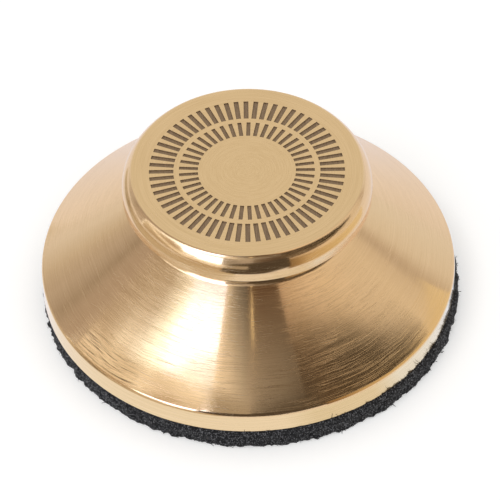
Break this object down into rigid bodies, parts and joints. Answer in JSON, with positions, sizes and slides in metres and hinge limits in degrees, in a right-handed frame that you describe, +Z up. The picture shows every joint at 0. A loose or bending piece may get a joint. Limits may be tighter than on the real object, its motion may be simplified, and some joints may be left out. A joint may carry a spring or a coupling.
{
  "type": "record spindle adapter",
  "caption": "Turned brass cone with a knob and a blind spindle bore on a felt pad, which centres a large-hole record on a turntable spindle.",
  "frame": {"origin": "centre of the felt's underside, on the spindle axis", "axes": "+Z up along the spindle axis, towards the knob"},
  "size_m": [0.038, 0.038, 0.0158],
  "materials": {
    "brass": "polished and lightly brushed, with fine turning lines and hairline scratches",
    "felt": "black wool felt with a fuzzy cut edge"
  },
  "bodies": {
    "root": {"brass_body": "brass", "felt_pad": "felt"}
  },
  "joints": []
}
